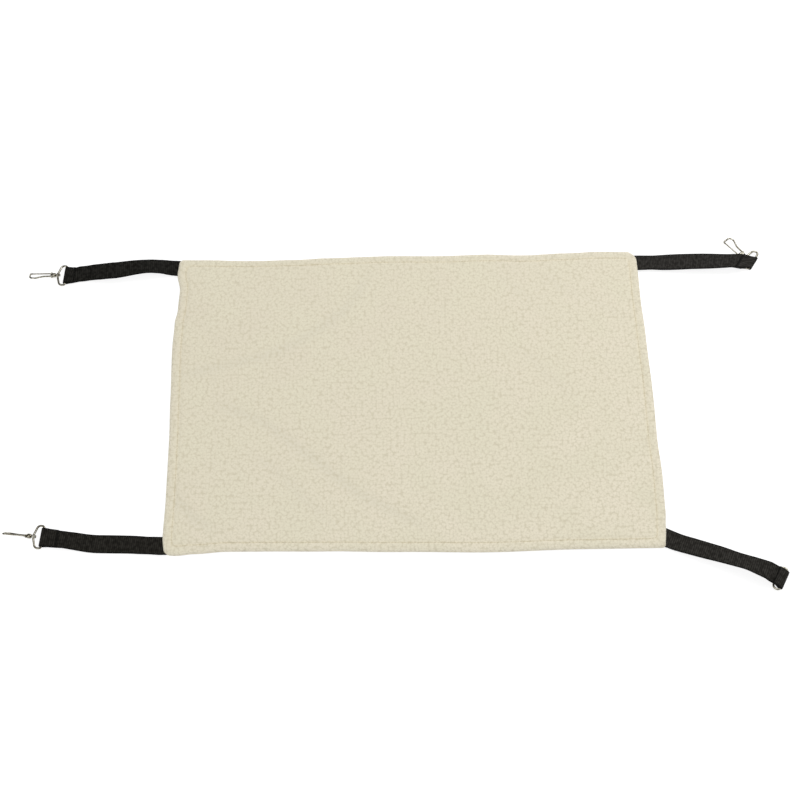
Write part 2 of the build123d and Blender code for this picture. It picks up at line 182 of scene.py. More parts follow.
class Graph:
    """A node tree in the making, with one method that adds any node to it."""

    def __init__(self, tree):
        self.tree = tree

    def node(self, kind, settings=None, inputs=None, output=0):
        made = self.tree.nodes.new(kind)
        for name, value in (settings or {}).items():
            setattr(made, name, value)
        for name, value in (inputs or {}).items():
            if isinstance(value, Link):
                self.tree.links.new(value.socket, made.inputs[name])
            else:
                made.inputs[name].default_value = value
        return Link(self, made.outputs[output])

    def place(self):
        """The piece's own coordinates."""
        return self.node("ShaderNodeTexCoord", output=3)

    def part(self, vector, axis):
        """A vector's part along X, Y or Z, as axis is 0, 1 or 2."""
        return self.node("ShaderNodeSeparateXYZ", inputs={0: vector}, output=axis)

    def attribute(self, name):
        """A number that the piece's mesh holds for each of its points."""
        return self.node("ShaderNodeAttribute", {"attribute_name": name}, output=2)

    def noise(self, place, scale, detail):
        """Random patches, from 0 to 1."""
        return self.node("ShaderNodeTexNoise", None, {"Vector": place, "Scale": scale, "Detail": detail})

    def mix(self, share, first, second):
        """From the first colour to the second, as share goes from 0 to 1."""
        return self.node("ShaderNodeMix", {"data_type": "RGBA"}, {0: share, 6: first, 7: second}, 2)

    def ease(self, value, low, high, start=0.0, end=1.0):
        """A smooth step of a value, from start at low to end at high."""
        return self.node("ShaderNodeMapRange", {"interpolation_type": "SMOOTHSTEP"},
                         {"Value": value, "From Min": low, "From Max": high, "To Min": start, "To Max": end})


def srgb(red, green, blue):
    """A colour as it is written from 0 to 255, as the shader wants it."""
    values = [c / 255 for c in (red, green, blue)]
    return (*[c / 12.92 if c <= 0.04045 else ((c + 0.055) / 1.055) ** 2.4 for c in values], 1.0)


def finish(name, colour, roughness, height=None, depth=0.0, **constants):
    """A material whose colour and roughness may be links, with a bump if height is given.

    A function of the material's graph gives colour, roughness and height.
    """
    material = bpy.data.materials.new(name)
    material.use_nodes = True
    graph = Graph(material.node_tree)
    shader = material.node_tree.nodes["Principled BSDF"]
    for socket, value in constants.items():
        shader.inputs[socket.replace("_", " ")].default_value = value
    for socket, make in (("Base Color", colour), ("Roughness", roughness)):
        if callable(make):
            material.node_tree.links.new(make(graph).socket, shader.inputs[socket])
        else:
            shader.inputs[socket].default_value = make
    if height:
        bump = graph.node("ShaderNodeBump", None,
                          {"Height": height(graph), "Distance": depth, "Strength": 1.0})
        material.node_tree.links.new(bump.socket, shader.inputs["Normal"])
    return material


canvas_pitch = 0.0011
canvas_relief = 0.00012
# Painted shade: the darker colour of the low places between the canvas threads
canvas_gap_painted_shade = srgb(178, 168, 145)
canvas_shades = srgb(203, 194, 172), srgb(213, 205, 184)


def canvas_threads(graph):
    """Height of a plain weave: warp and weft threads that pass over each other."""
    place = graph.place()
    warp, weft = [(graph.part(place, axis) * (math.pi / canvas_pitch)).sine() for axis in (0, 1)]
    slub = graph.noise(place, 420.0, 2.0)
    return abs(warp) * 0.5 + abs(weft) * 0.5 + warp * weft * 0.35 + slub * 0.35


def canvas_colour(graph):
    """Undyed canvas: thread shades, painted shade in the low places between threads, and a slight unevenness
    over the cloth.
    """
    cloud = graph.noise(graph.place(), 14.0, 3.0)
    base = graph.mix(graph.ease(cloud, 0.35, 0.65), *canvas_shades)
    return graph.mix(graph.ease(canvas_threads(graph), 0.2, 0.9), canvas_gap_painted_shade, base)


backing_rim = (0.0, 0.0008, 0.002, 0.004, 0.0065, 0.008, 0.009, 0.010, 0.0115, 0.014)
back_x, back_y = np.meshgrid(grid_lines(mat_length / 2 - backing_inset, backing_rim, backing_step),
                             grid_lines(mat_depth / 2 - backing_inset, backing_rim, backing_step))
back_in = rim_distance(back_x, back_y, backing_inset)
back_px, back_py = mat_plan(back_x, back_y, backing_inset)
# Its underside: just off the floor, in low ripples, drawn up by the stitches and
# turned up at the very rim
back_gap, ripple_rise, stitch_rise, rim_rise = 0.00025, 0.00045, 0.00065, 0.0005
ripple_fade, stitch_pull, rim_turn = 0.02, 0.0017, 0.0012
ripple_waves = ((31, 17, 0), (-11, 43, 1.3))
first, second = [np.sin(back_px * a + back_py * b + shift) for a, b, shift in ripple_waves]
ripple = (first * second + 1) / 2
pull = np.exp(-((back_in - seam_inset + backing_inset) / stitch_pull) ** 2)
back_low = back_gap + ripple_rise * ripple * np.clip(back_in / ripple_fade, 0, 1) + stitch_rise * pull
back_low += rim_rise * np.clip(1 - back_in / rim_turn, 0, 1)
back_points = np.concatenate([
    np.stack([back_px, back_py, np.full_like(back_px, backing_thickness)], axis=-1).reshape(-1, 3),
    np.stack([back_px, back_py, back_low], axis=-1).reshape(-1, 3)])
back_rows, back_columns = back_x.shape
back_count = back_rows * back_columns
back_rim = rim_loop(back_columns, back_rows)
back_faces = grid_faces(back_columns, back_rows)
back_faces += [face[::-1] for face in grid_faces(back_columns, back_rows, back_count)]
back_faces += [(a + back_count, b + back_count, b, a) for a, b in zip(back_rim, back_rim[1:] + back_rim[:1])]
backing = new_piece("mat_backing", back_points, back_faces)
backing.data.materials.append(finish("undyed canvas", canvas_colour, 0.9, canvas_threads, canvas_relief,
                                     Specular_IOR_Level=0.25, Sheen_Weight=0.1))
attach(backing, "mat")
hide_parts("backing")

# The straps: 20 mm black polypropylene webbing, ribbed across, with a firm
# selvedge. Each is one length: its sewn-in tail lies between backing and fleece,
# and its end is folded round the eye's bar and sewn down on itself.

# Sizes of the straps are in millimetres and degrees
strap_width = 20.0
strap_thickness = 1.2
half_layer = strap_thickness / 2
tail_length = 21.0
seam_height = 2.2
fold_radius = 2.0
fold_close = 6.0
upper_lift_shares = (1.06, 1.04)
upper_points = 8
loop_points = 25
line_step = 1.5
floor_gap = 0.05
rib_pitch = 2.1
thread_pitch = 1.1
webbing_relief = 0.3
# Where the selvedges' plan starts behind the seam, turns to the fold's heading
# before the bar, and ends past it
behind_seam, turn_run, past_bar = 60.0, 14.0, 12.0
# For each strap: its shade, the black webbing's colour with painted light, lighter
# or darker per strap as light falls on it; the seam's place, the distance to the bar and the
# bar's height; the headings of its sewn-in tail, of its run and of its fold, and
# the fold's slope; the width at the end and in the fold, how far before the bar
# the left and right selvedge turn square to it, and where the folded end stops;
# the run seen from the side, as (along, height), with the radius of each bend.
# Then how the soft webbing strays from that run, by places along it: sideways to
# the left, and how far its left edge is rolled up.
straps = {
    "back_left": {
        "shade": (28, 27, 23),
        "seam": (-252.7, 163.8), "reach": 120.29, "bar_height": 2.7,
        "tail": 180.0, "heading": 183.0, "fold_heading": 176.0, "slope": 0.0,
        "end_width": 20.0, "fold_width": 20.0, "square": (7, 7), "fold_stop": 8.5,
        "run": ((7.2, 2.2), (27.5, 10.1), (71.6, 8.9), (98.4, 2.1)), "bends": (30, 30, 30, 7),
        "bow": ((0, -0.5), (8, -4.3), (24, -1.2), (40, -1.6), (56, 0.2), (72, 1.3),
                (88, -1.6), (104, -2.3), (118, 0)),
        "roll": ((0, 0), (8, 6.6), (24, 12.4), (40, 7.3), (56, -3.9), (72, -3.6),
                 (88, -1.7), (104, 0.6), (118, 0)),
    },
    "front_left": {
        "shade": (34, 32, 27),
        "seam": (-252.7, -163.8), "reach": 118.58, "bar_height": 3.42,
        "tail": 180.0, "heading": 174.9, "fold_heading": 175.2, "slope": 0.0,
        "end_width": 20.0, "fold_width": 20.0, "square": (7, 7), "fold_stop": 15.0,
        "run": ((9.5, 2.2), (21.3, 0.75), (87.8, 0.75), (97.6, 2.82)), "bends": (30, 30, 30, 7),
        "bow": ((0, 0), (8, 0.8), (24, 0.2), (40, 1.0), (56, 1.8), (72, 2.9),
                (88, 0.6), (104, 0.8), (118, 0)),
        "roll": ((0, 0), (8, 7.0), (24, 5.6), (40, 4.0), (56, 1.7), (72, 6.1),
                 (88, 10.7), (104, 8.0), (118, 0)),
    },
    "back_right": {
        "shade": (47, 45, 42),
        "seam": (252.7, 163.8), "reach": 123.83, "bar_height": 2.7,
        "tail": 0.0, "heading": -0.8, "fold_heading": -33.0, "slope": 28.0,
        "end_width": 18.4, "fold_width": 17.0, "square": (-2, 1), "fold_stop": 14.5,
        "run": ((8.4, 2.2), (52.4, 8.2), (89.4, 10.2)), "bends": (30, 30, 7),
        "bow": ((0, 0), (8, 1.5), (22, -0.3), (36, -1.1), (50, -2.0), (64, -2.4),
                (78, -3.1), (90, -2.6), (104, 0)),
        "roll": ((0, 0), (8, -9.4), (22, 2.8), (36, 6.7), (50, 3.5), (64, 3.9),
                 (78, -3.3), (90, -2.8), (104, 0)),
    },
    "front_right": {
        "shade": (44, 42, 38),
        "seam": (252.7, -164.15), "reach": 118.83, "bar_height": 2.7,
        "tail": -23.1, "heading": -23.1, "fold_heading": -28.7, "slope": 33.0,
        "end_width": 20.0, "fold_width": 20.0, "square": (7, 7), "fold_stop": 10.0,
        "run": ((9.5, 2.2), (101.4, 12.96)), "bends": (30, 7),
        "bow": ((0, 0), (8, -1.0), (24, -0.2), (40, 0.0), (56, 0.9), (72, 0.4),
                (86, 1.6), (98, -1.0), (112, 0)),
        "roll": ((0, 0), (8, -4.1), (24, -4.5), (40, -7.7), (56, -12.3), (72, -20),
                 (86, -18), (98, -4.2), (112, 0)),
    },
}
# The steps of those tables are smoothed over these places about each point
smoothing = (-9, -4.5, 0, 4.5, 9)


def turned_to(angle):
    """The flat direction at an angle from +X, and the one to its left."""
    a = math.radians(angle)
    return np.array((math.cos(a), math.sin(a))), np.array((-math.sin(a), math.cos(a)))


def eased(points, bends, spacing):
    """A line through straight runs with a curve at each inner point, evenly stepped."""
    bend_run_share, step_angle, straight = 0.48, 4, 1e-4
    points = [np.array(p, float) for p in points]
    line = [points[0]]
    for before, at, after, bend in zip(points, points[1:], points[2:], bends):
        run_in, run_out = at - before, after - at
        room = bend_run_share * min(np.linalg.norm(run_in), np.linalg.norm(run_out))
        run_in, run_out = run_in / np.linalg.norm(run_in), run_out / np.linalg.norm(run_out)
        half = math.acos(np.clip(run_in @ run_out, -1, 1)) / 2
        reach = min(room, bend * math.tan(half)) if half > straight else 0.0
        start, end = at - run_in * reach, at + run_out * reach
        steps = max(2, math.ceil(2 * math.degrees(half) / step_angle))
        for t in np.arange(steps + 1) / steps:
            line.append(start * (1 - t) ** 2 + at * 2 * t * (1 - t) + end * t * t)
    line = np.array([*line, points[-1]])
    gaps = np.linalg.norm(np.diff(line, axis=0), axis=1)
    along = np.concatenate([[0], np.cumsum(gaps)])
    wanted = np.linspace(0, along[-1], max(2, round(along[-1] / spacing) + 1))
    return np.stack([np.interp(wanted, along, line[:, axis]) for axis in range(line.shape[1])], axis=1)


def webbing_line(strap):
    """The strap's middle line from its tail to its folded end, seen from the side."""
    slant = math.radians(strap["fold_heading"] - strap["heading"])
    slope = math.radians(strap["slope"])
    bar = np.array((strap["reach"] * math.cos(slant), strap["bar_height"]))
    turn = np.array(((math.cos(slope), math.sin(slope)), (-math.sin(slope), math.cos(slope))))
    parting = tuple(bar + turn @ (-fold_close, -half_layer))
    lower = eased([(-tail_length, seam_height), *strap["run"], parting], strap["bends"], line_step)
    apart = math.acos(fold_radius / math.hypot(fold_close, half_layer))
    start = math.pi + math.atan2(half_layer, fold_close) + apart
    angles = np.linspace(start, start + 2 * math.pi - 2 * (start - math.pi), loop_points)
    loop = np.stack([np.cos(angles), np.sin(angles)], axis=1) * fold_radius
    lifts = [half_layer * share for share in upper_lift_shares]
    upper = np.linspace((-fold_close, lifts[0]), (-strap["fold_stop"], lifts[1]), upper_points)
    return np.concatenate([lower, [bar + turn @ p for p in (*loop, *upper)]])


def eased_table(table, along):
    """A table's value at a place along a strap, its steps smoothed out."""
    places, values = np.array(table, float).T
    return np.mean([np.interp(along + shift, places, values) for shift in smoothing], axis=0)


def webbing_plan(strap, along, share):
    """How far to the left a line of the webbing lies, and how far it is rolled up.

    The share across is from -1, the right selvedge, to 1, the left one.
    """
    fold, fold_left = turned_to(strap["fold_heading"])
    head, head_left = turned_to(strap["heading"])
    tail, tail_left = turned_to(strap["tail"])
    lines = []
    for side, square in zip((1, -1), strap["square"]):
        stops = [tail_left * side * strap_width / 2 - tail * behind_seam,
                 head_left * side * strap_width / 2,
                 head * (strap["reach"] - turn_run) + head_left * side * strap["end_width"] / 2,
                 head * strap["reach"] - fold * square + fold_left * side * strap["fold_width"] / 2]
        stops.append(stops[-1] + fold * past_bar)
        lines.append(np.interp(along, [p @ fold for p in stops], [p @ fold_left for p in stops]))
    roll = np.radians(eased_table(strap["roll"], along))
    middle = (lines[0] + lines[1]) / 2 + eased_table(strap["bow"], along)
    half = (lines[0] - lines[1]) / 2
    return middle + share * half * np.cos(roll), share * half * np.sin(roll)


def webbing_ribs(graph):
    """Height of the webbing: rounded ribs across it, each of a row of short threads."""
    place = graph.node("ShaderNodeUVMap", {"uv_map": "webbing"})
    across, along = graph.part(place, 0) / (thread_pitch * mm), graph.part(place, 1) / (rib_pitch * mm)
    rib = abs((along * math.pi).sine())
    row = along.maths("FLOOR", along) * 0.5
    thread = abs(((across + row) * math.pi).sine())
    return rib * 0.8 + thread * 0.2 + graph.noise(place, 1300.0, 2.0) * 0.3


def webbing_colour(body):
    """Black thread as bright as body on the ribs, with painted shade between them and at the selvedge,
    and at the heat-cut end the seal's own black with a painted shadow of the folded end's step."""
    dull, bright = [srgb(*[c + change for c in body]) for change in (-9, 11)]
    # Painted shade between the ribs, and at the selvedge and cut end, as shares of the strap's colour
    rib_painted_shade, painted_edge_shade_and_seal = [srgb(*[c * share for c in body]) for share in (0.35, 0.3)]

    def colour(graph):
        place = graph.node("ShaderNodeUVMap", {"uv_map": "webbing"})
        rim = graph.ease(abs(graph.part(place, 0)), 0.0078, 0.0094)
        thread = graph.mix(graph.ease(graph.noise(place, 260.0, 3.0), 0.36, 0.64), dull, bright)
        ribbed = graph.mix(graph.ease(webbing_ribs(graph), 0.25, 0.8), rib_painted_shade, thread)
        # Painted shade at the selvedge; at the cut end a painted shadow of the fold's step over the seal's
        # black
        return graph.mix(rim.larger(graph.attribute("cut")) * 0.75, ribbed, painted_edge_shade_and_seal)
    return colour


# Across the webbing: shares of the half width and of the half thickness, from the
# left selvedge to the middle of the top, and from there all round
selvedge = ((1.0, 0.0), (0.995, 0.42), (0.975, 0.76), (0.94, 0.95), (0.90, 0.88), (0.85, 0.94),
            (0.72, 1.0), (0.54, 1.0), (0.36, 1.0), (0.18, 1.0), (0.0, 1.0))
strap_top = [*selvedge, *[(-share, rise) for share, rise in selvedge[-2::-1]]]
strap_section = [*strap_top, *[(share, -rise) for share, rise in strap_top[-2:0:-1]]]
across = len(strap_section)
# Each strap is one piece with no body, its mesh baked where it lies
strap_lines = {}
for name, strap in straps.items():
    line = webbing_line(strap)
    fold, fold_left = turned_to(strap["fold_heading"])
    ahead = np.gradient(line, axis=0)
    ahead /= np.linalg.norm(ahead, axis=1)[:, None]
    out = np.stack([-ahead[:, 1], ahead[:, 0]], axis=1)
    run = np.concatenate([[0], np.cumsum(np.linalg.norm(np.diff(line, axis=0), axis=1))])
    strap_lines[name] = (line, out)
    slant = math.tan(math.radians(strap["heading"] - strap["fold_heading"]))
    points, weave = [], []
    for (along, height), (out_along, out_height), length in zip(line, out, run):
        for share, rise in strap_section:
            left, rolled = webbing_plan(strap, along, share)
            spot = fold * (along + out_along * rise * half_layer) + fold_left * left
            spot += np.array(strap["seam"])
            lifted = max(height + rolled, half_layer + floor_gap)
            points.append((*spot * mm, (lifted + out_height * rise * half_layer) * mm))
            weave.append((share * strap_width / 2 * mm, (length + left * slant) * mm))
    faces = [(row * across + i, row * across + (i + 1) % across,
              (row + 1) * across + (i + 1) % across, (row + 1) * across + i)
             for row in range(len(line) - 1) for i in range(across)]
    faces += [tuple(range(across))[::-1], tuple(range((len(line) - 1) * across, len(line) * across))]
    piece = new_piece(f"webbing_{name}", points, faces)
    grain = piece.data.uv_layers.new(name="webbing")
    for corner in piece.data.loops:
        grain.data[corner.index].uv = weave[corner.vertex_index]
    # The last rings at the cut end, for the seal's black and a painted shadow of the fold's step
    cut = piece.data.attributes.new("cut", "FLOAT", "POINT")
    cut.data.foreach_set("value", [0.0] * (len(points) - 2 * across) + [1.0] * (2 * across))
    # Each strap gets its own copy of the webbing, its shade made lighter or darker with painted light
    piece.data.materials.append(finish(
        f"black webbing {name}", webbing_colour(strap["shade"]), 0.75, webbing_ribs,
        webbing_relief * mm, Specular_IOR_Level=0.12, Sheen_Weight=0.0))
    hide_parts(f"strap_{name}", f"strap_tail_{name}")
    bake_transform(piece)

# The fleece: a thick knitted sheet with a dense curled pile, cream, sewn to the
# backing and turned, so that its pile goes over the rim. The topstitch draws in
# a channel all round, and the sheet keeps some broad soft folds.
fleece_low = 0.00165
fleece_rim = 0.0034
fleece_top = 0.0066
fleece_step = 0.0016
rim_round = 0.0052
channel_width = 0.0019
channel_depth = 0.0007
gather_depth = 0.0004
gather_pitch = 0.011
gather_inset = 0.03
hem_middle = 0.0035
hem_width = 0.005
hem_wave = 0.00035
hem_wave_runs = 0.0043, 0.0091
hem_wave_shift = 0.7
crease_width = 0.0062
crease_depth = 0.0006
crease_fade = 0.02
curl_size = 0.0036
curl_height = 0.00045
tuft_share = 0.3
tuft_size_share = 0.55
pile_relief = 0.00014
# The soft creases left from folding: how strong each is, and points along it in mm
fleece_creases = (
    (1.0, ((-245, 27), (-232, 31), (-190, 41), (-159, 49), (-124, 66), (-96, 84), (-71, 106),
           (-53, 134), (-44, 154))),
    (1.0, ((-205, -6), (-161, -24), (-119, -58), (-88, -85), (-57, -111), (-24, -131), (12, -150))),
    (0.6, ((-166, -64), (-132, -92), (-108, -121), (-84, -144))),
    (1.1, ((-246, -100), (-237, -119), (-222, -136), (-199, -151))),
    (0.4, ((86, 152), (121, 124), (141, 101))),
    (0.4, ((137, 152), (170, 127), (189, 121), (230, 89))),
    (0.5, ((108, 58), (128, 43), (144, 19), (172, -8))),
    (0.3, ((119, -101), (154, -86))),
)


def creased(x, y):
    """How much of a crease there is at a point of the mat, faded out at its ends."""
    end_run, end_share = 0.03, 0.3
    total = np.zeros_like(x)
    for strength, line in fleece_creases:
        line = np.array(line) * mm
        lengths = np.linalg.norm(np.diff(line, axis=0), axis=1)
        starts = np.concatenate([[0], np.cumsum(lengths)])
        nearest, place = np.full_like(x, np.inf), np.zeros_like(x)
        for at, run, length, before in zip(line, np.diff(line, axis=0), lengths, starts):
            share = np.clip(((x - at[0]) * run[0] + (y - at[1]) * run[1]) / length ** 2, 0, 1)
            away = np.hypot(x - at[0] - share * run[0], y - at[1] - share * run[1])
            place = np.where(away < nearest, before + share * length, place)
            nearest = np.minimum(away, nearest)
        ends = np.clip(np.minimum(place, starts[-1] - place) / end_run + end_share, 0, 1)
        total += strength * ends * np.exp(-(nearest / crease_width) ** 2)
    return total


def fleece_height(x, y, inside):
    """Height of the fleece's skin, without its pile."""
    roll = np.sqrt(1 - (1 - np.clip(inside / rim_round, 0, 1)) ** 2)
    height = fleece_rim + (fleece_top - fleece_rim) * roll
    channel = np.exp(-((inside - seam_inset) / channel_width) ** 2)
    gather = 0.5 + 0.5 * np.cos(2 * np.pi * np.where(inside < gather_inset, (x + y) / gather_pitch, 0))
    height -= channel * (channel_depth + gather_depth * gather)
    hem = np.clip(1 - np.abs(inside - hem_middle) / hem_width, 0, 1)
    one, other = (x - y) / hem_wave_runs[0], (x + y) / hem_wave_runs[1] + hem_wave_shift
    height += hem * hem_wave * np.sin(one) * np.sin(other)
    return height - crease_depth * creased(x, y) * np.clip(inside / crease_fade, 0, 1)


fleece_steps = (0.0, 0.00018, 0.0006, 0.0012, 0.0020, 0.0029, 0.0040, 0.0052)
fleece_x, fleece_y = np.meshgrid(grid_lines(mat_length / 2, fleece_steps, fleece_step),
                                 grid_lines(mat_depth / 2, fleece_steps, fleece_step))
fleece_in = rim_distance(fleece_x, fleece_y)
fleece_px, fleece_py = mat_plan(fleece_x, fleece_y)
fleece_skin = fleece_height(fleece_px, fleece_py, fleece_in)
fleece_points = np.stack([fleece_px, fleece_py, fleece_skin], axis=-1).reshape(-1, 3)
fleece_rows, fleece_columns = fleece_x.shape
fleece_count = fleece_rows * fleece_columns
fleece_loop = rim_loop(fleece_columns, fleece_rows)
# Its underside is flat, and drawn in a little from the rim all round
under_x, under_y = mat_plan(fleece_x.ravel()[fleece_loop] * (1 - backing_inset / mat_length),
                            fleece_y.ravel()[fleece_loop] * (1 - backing_inset / mat_depth))
under = np.stack([under_x, under_y, np.full_like(under_x, fleece_low)], axis=-1)
under_loop = list(range(fleece_count, fleece_count + len(fleece_loop)))
fleece_faces = grid_faces(fleece_columns, fleece_rows)
fleece_faces += [(a, c, d, b) for a, b, c, d in zip(fleece_loop, fleece_loop[1:] + fleece_loop[:1],
                                                    under_loop, under_loop[1:] + under_loop[:1])]
fleece_faces.append(under_loop[::-1])
fleece = new_piece("mat_fleece", np.concatenate([fleece_points, under]), fleece_faces)
# What the mesh tells the material: how long the pile is, thin at the rim and in the stitched channel,
# where painted light makes it paler; how deep in the channel a point is, for painted shade there; and how
# creased it is, for painted shade in the creases
rim_pile, pile_run, pile_lost = 0.45, 0.008, 0.55
pile_channel, colour_channel = 0.0013, 0.0015
strongest_crease = 1.1
pile_stitched = pile_lost * np.exp(-((fleece_in - seam_inset) / pile_channel) ** 2)
fleece_marks = {
    "pile": np.clip(rim_pile + fleece_in / pile_run, 0, 1) - pile_stitched,
    "channel": np.exp(-((fleece_in - seam_inset) / colour_channel) ** 2),
    "crease": np.clip(creased(fleece_px, fleece_py), 0, strongest_crease),
}
for label, mark in fleece_marks.items():
    marked = fleece.data.attributes.new(label, "FLOAT", "POINT")
    marked.data.foreach_set("value", np.concatenate([mark.ravel(), np.zeros(len(under))]).astype(np.float32))


def geometry_tree(name, sizes):
    """An empty Geometry Nodes tree with inputs for some sizes and for its material."""
    tree = bpy.data.node_groups.new(name, "GeometryNodeTree")
    kinds = {"Geometry": "Geometry", **{size: "Float" for size in sizes}, "Material": "Material"}
    sockets = {label: tree.interface.new_socket(label, in_out="INPUT", socket_type=f"NodeSocket{kind}")
               for label, kind in kinds.items()}
    tree.interface.new_socket("Geometry", in_out="OUTPUT", socket_type="NodeSocketGeometry")
    graph = Graph(tree)
    entry = tree.nodes.new("NodeGroupInput")
    given = {socket.name: Link(graph, socket) for socket in entry.outputs if socket.name}
    return graph, given, {label: socket.identifier for label, socket in sockets.items()}


def close_tree(graph, shape, material):
    """End a tree: instances made real, shaded smooth, and given their material."""
    real = graph.node("GeometryNodeRealizeInstances", None, {0: shape})
    smooth = graph.node("GeometryNodeSetShadeSmooth", None, {0: real})
    painted = graph.node("GeometryNodeSetMaterial", None, {"Geometry": smooth, "Material": material})
    exit_node = graph.tree.nodes.new("NodeGroupOutput")
    graph.tree.links.new(painted.socket, exit_node.inputs[0])


def grown(piece, graph, sockets, given_values):
    """Run a tree on a piece with these values, and keep the result as its plain mesh."""
    modifier = piece.modifiers.new(graph.tree.name, "NODES")
    modifier.node_group = graph.tree
    for label, value in given_values.items():
        modifier[sockets[label]] = value
    bpy.context.view_layer.update()
    evaluated = piece.evaluated_get(bpy.context.evaluated_depsgraph_get())
    mesh = bpy.data.meshes.new_from_object(evaluated)
    piece.modifiers.remove(modifier)
    piece.data = mesh
    return piece


def pile_cells(graph, place, size):
    """How far a point is from the middle of its curl of pile, 1 being a curl's width.

    The curls are laid out in plan, slanted so that they go on down the rim.
    """
    height = graph.part(place, 2) * 0.7
    slant = graph.node("ShaderNodeCombineXYZ", None, {0: height, 1: height})
    flat = graph.node("ShaderNodeVectorMath", {"operation": "ADD"}, {0: place, 1: slant})
    return graph.node("ShaderNodeTexVoronoi", {"voronoi_dimensions": "2D", "feature": "F1"},
                      {"Vector": flat, "Scale": 1 / size, "Randomness": 0.85})


def fleece_curls(graph):
    """Height of the pile: round curls that crowd each other, smaller ones, and fine fibres."""
    place = graph.place()
    large, small = [pile_cells(graph, place, curl_size * share) for share in (1, tuft_size_share)]
    return 1 - large * large * 0.9 - small * small * 0.7 + (graph.noise(place, 700.0, 3.0) - 0.5) * 0.7


# Painted light: the pile darker towards the back left and lighter towards the front right, as light falls
pile_painted_shade_to_light = srgb(228, 220, 199), srgb(235, 227, 206)
cloud_shade = srgb(230, 224, 201)
# Painted shade along the creases
crease_painted_shade = srgb(223, 217, 197)
# Painted light that lifts the rim and the channel where the pile is short
short_pile_painted_light = srgb(247, 240, 222)
# Painted shade in the low places between the curls
curl_gap_painted_shade = srgb(213, 205, 181)
# Painted shade in the stitched channel's hollow
channel_painted_shade = srgb(222, 209, 172)


def fleece_colour(graph):
    """Cream pile with painted light: lighter towards the front right, painted shade between curls, in
    creases and in the channel, paler where the pile is short, and broad random patches.
    """
    place = graph.place()
    # Painted light across the mat, from the back left to the front right
    painted_light_slope = graph.ease(graph.part(place, 0) * 0.7 - graph.part(place, 1), -0.32, 0.32)
    base = graph.mix(painted_light_slope, *pile_painted_shade_to_light)
    base = graph.mix(graph.ease(graph.noise(place, 21.0, 2.0), 0.3, 0.7), base, cloud_shade)
    base = graph.mix(graph.attribute("crease") * 0.6, base, crease_painted_shade)
    base = graph.mix((1 - graph.attribute("pile")) * 0.6, base, short_pile_painted_light)
    base = graph.mix(graph.ease(fleece_curls(graph), 0.1, 1.1), curl_gap_painted_shade, base)
    return graph.mix(graph.attribute("channel") * 0.15, base, channel_painted_shade)


pile_graph, given, pile_sockets = geometry_tree("fleece pile", ("Curl size", "Curl height", "Tuft share"))
spot = pile_graph.node("GeometryNodeInputPosition")
cell, tuft = [pile_cells(pile_graph, spot, given["Curl size"] * share) for share in (1, tuft_size_share)]
curl = (1 - cell * cell * 1.6) * (1 - given["Tuft share"]) + (1 - tuft * tuft * 1.6) * given["Tuft share"]
pile_here = pile_graph.node("GeometryNodeInputNamedAttribute", {"data_type": "FLOAT"}, {"Name": "pile"})
lift = (curl - 0.65) * given["Curl height"] * pile_here
facing = pile_graph.node("GeometryNodeInputNormal")
offset = pile_graph.node("ShaderNodeVectorMath", {"operation": "SCALE"}, {0: facing, "Scale": lift})
raised = pile_graph.node("GeometryNodeSetPosition", None, {"Geometry": given["Geometry"], "Offset": offset})
close_tree(pile_graph, raised, given["Material"])
cream_fleece = finish("cream fleece", fleece_colour, 0.95, fleece_curls, pile_relief,
                      Specular_IOR_Level=0.15, Sheen_Weight=0.25, Sheen_Roughness=0.6)
grown(fleece, pile_graph, pile_sockets, {"Curl size": curl_size, "Curl height": curl_height,
                                         "Tuft share": tuft_share, "Material": cream_fleece})
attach(fleece, "mat")
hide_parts("fleece_top")

# The sewing thread: a lockstitch round the mat 9 mm inside its rim, cream, whose
# bobbin side shows on the backing, and black box stitches that hold each strap's
# folded end. Each stitch is a short thread between two needle holes.
stitch_length = 0.0033
thread_thickness = 0.00055
stitch_cover_share = 0.93
seam_corner = 0.004
seam_step = 0.004
thread_rise = 0.0002
bobbin_height = 0.00075
box_stitch_length = 0.0022
box_thread_thickness = 0.0005
# The box's margin to the fold's selvedges and its height above the webbing, in mm
box_margin, box_rise = 2.6, 0.08
box_end_share = 0.82
stitch_graph, given, stitch_sockets = geometry_tree("stitches", ("Length", "Thickness"))
path = stitch_graph.node("GeometryNodeMeshToCurve", None, {"Mesh": given["Geometry"]})
holes = stitch_graph.node("GeometryNodeResampleCurve", {"mode": "LENGTH"},
                          {"Curve": path, "Length": given["Length"]})
tangent = stitch_graph.node("GeometryNodeInputTangent")
heading = stitch_graph.node("FunctionNodeAlignRotationToVector", {"axis": "X"}, {"Vector": tangent})
bead = stitch_graph.node("GeometryNodeMeshUVSphere", None, {"Segments": 8, "Rings": 6, "Radius": 0.5})
size = stitch_graph.node("ShaderNodeCombineXYZ", None, {
    0: given["Length"] * stitch_cover_share, 1: given["Thickness"], 2: given["Thickness"]})
bead = stitch_graph.node("GeometryNodeTransform", None, {"Geometry": bead, "Scale": size})
sewn = stitch_graph.node("GeometryNodeInstanceOnPoints", None,
                         {"Points": holes, "Instance": bead, "Rotation": heading})
close_tree(stitch_graph, sewn, given["Material"])


def thread_colour(base):
    """Spun thread: a twist of lighter and darker plies along it."""
    shaded = srgb(*[c * 0.86 for c in base])

    def colour(graph):
        plies = graph.noise(graph.place(), 1800.0, 1.0)
        return graph.mix(graph.ease(plies, 0.3, 0.7), shaded, srgb(*base))
    return colour


cream_thread = finish("cream thread", thread_colour((226, 215, 184)), 0.7, Specular_IOR_Level=0.3)
black_thread = finish("black thread", thread_colour((38, 36, 34)), 0.6, Specular_IOR_Level=0.3)


